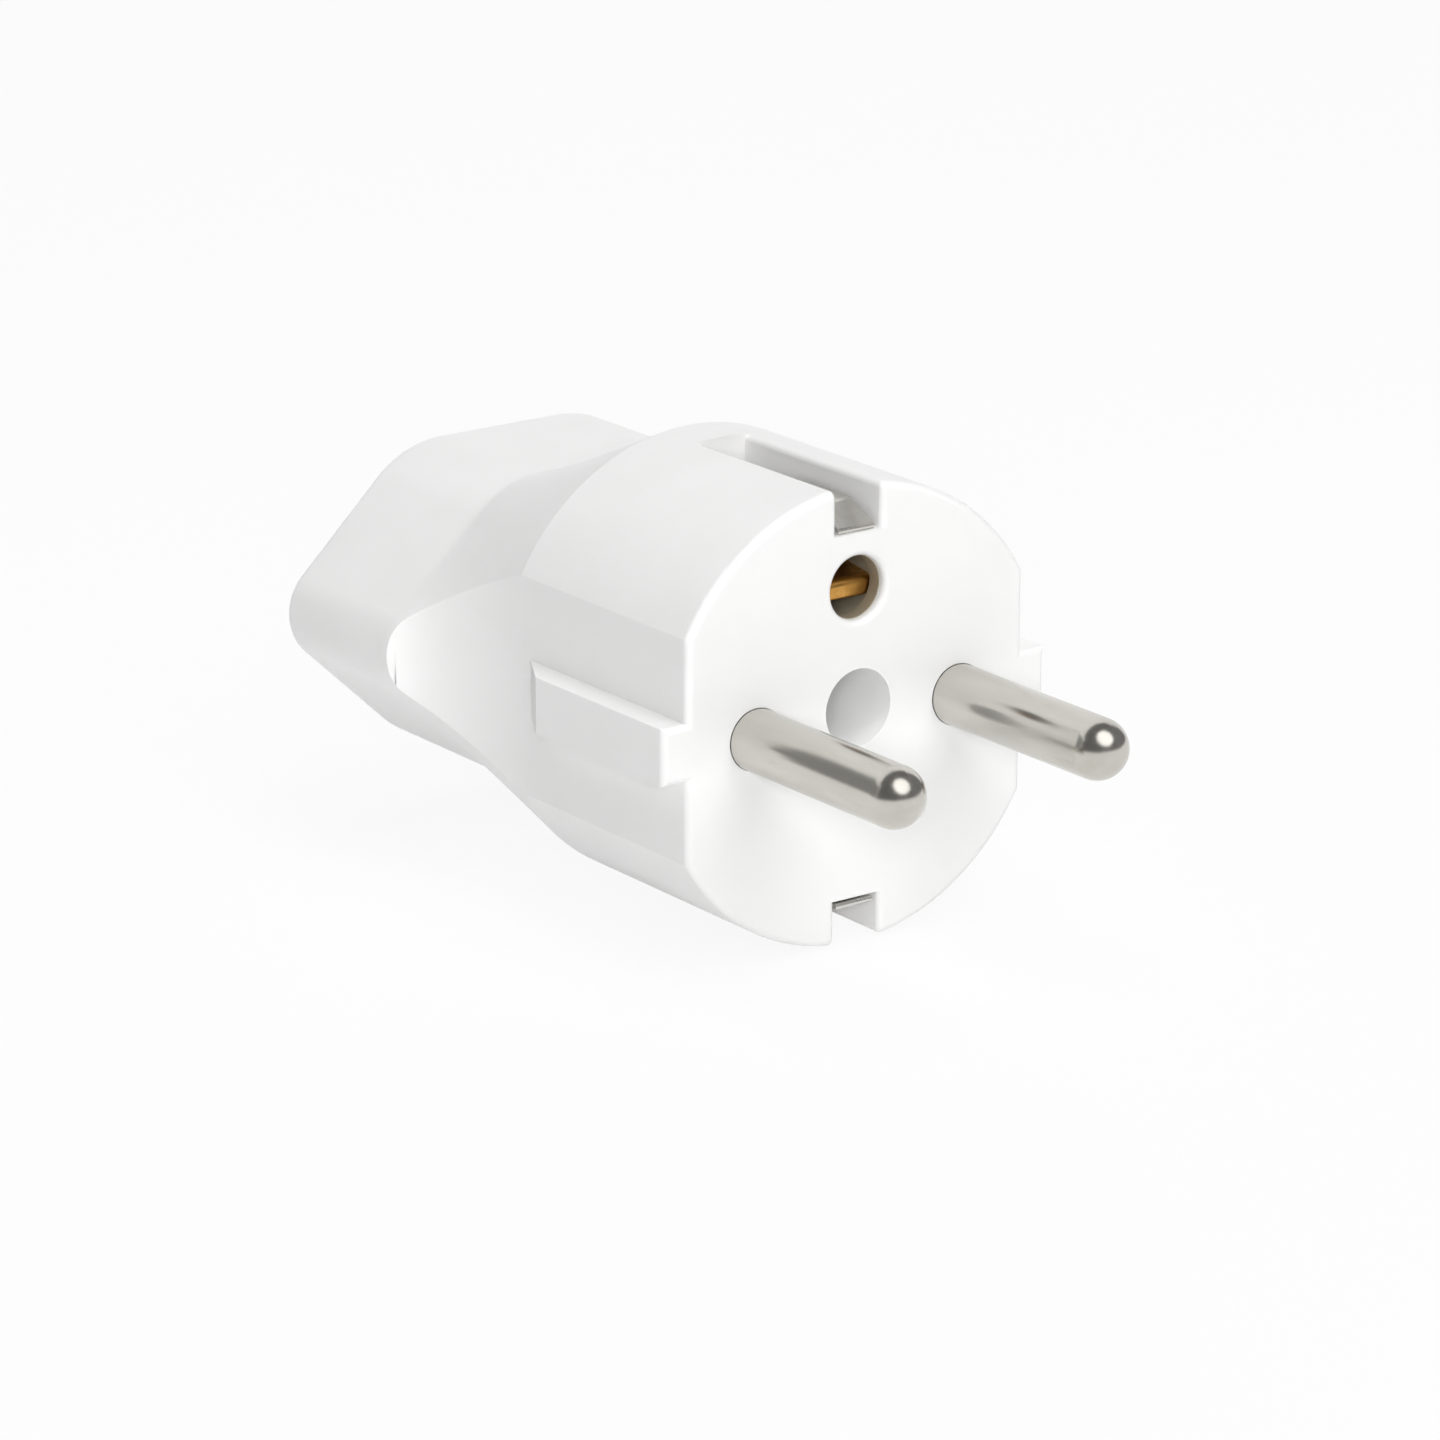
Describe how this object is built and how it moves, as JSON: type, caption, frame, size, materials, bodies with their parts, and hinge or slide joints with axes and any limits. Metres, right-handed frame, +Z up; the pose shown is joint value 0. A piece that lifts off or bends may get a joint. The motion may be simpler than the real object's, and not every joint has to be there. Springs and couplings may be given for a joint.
{
  "type": "plug adapter",
  "caption": "Round earthed mains plug moulded into an elongated hexagonal socket housing, with domed metal pins, guide ribs on its flats, sprung earth strips and an earth-pin hole.",
  "frame": {"origin": "middle of the plug's face, halfway between the two pins, in the plane of the face", "axes": "+Y runs from the face back to the hexagonal socket, the pins point to -Y, +X runs from one pin to the other, and +Z is up towards the earth-pin hole"},
  "size_m": [0.0408, 0.067, 0.0362],
  "materials": {
    "white_plastic": "satin",
    "nickel_plate": "polished",
    "spring_brass": "satin",
    "screw_steel": "satin"
  },
  "bodies": {
    "root": {"plug_body": "white_plastic", "socket_housing": "white_plastic", "socket_insert": "white_plastic", "housing_screw": "screw_steel", "line_pin": "nickel_plate", "neutral_pin": "nickel_plate", "line_contact": "spring_brass", "neutral_contact": "spring_brass", "earth_contact": "spring_brass", "earth_strap": "nickel_plate", "earth_rivet": "spring_brass", "earth_sleeve": "nickel_plate", "earth_tongue": "spring_brass"}
  },
  "joints": []
}
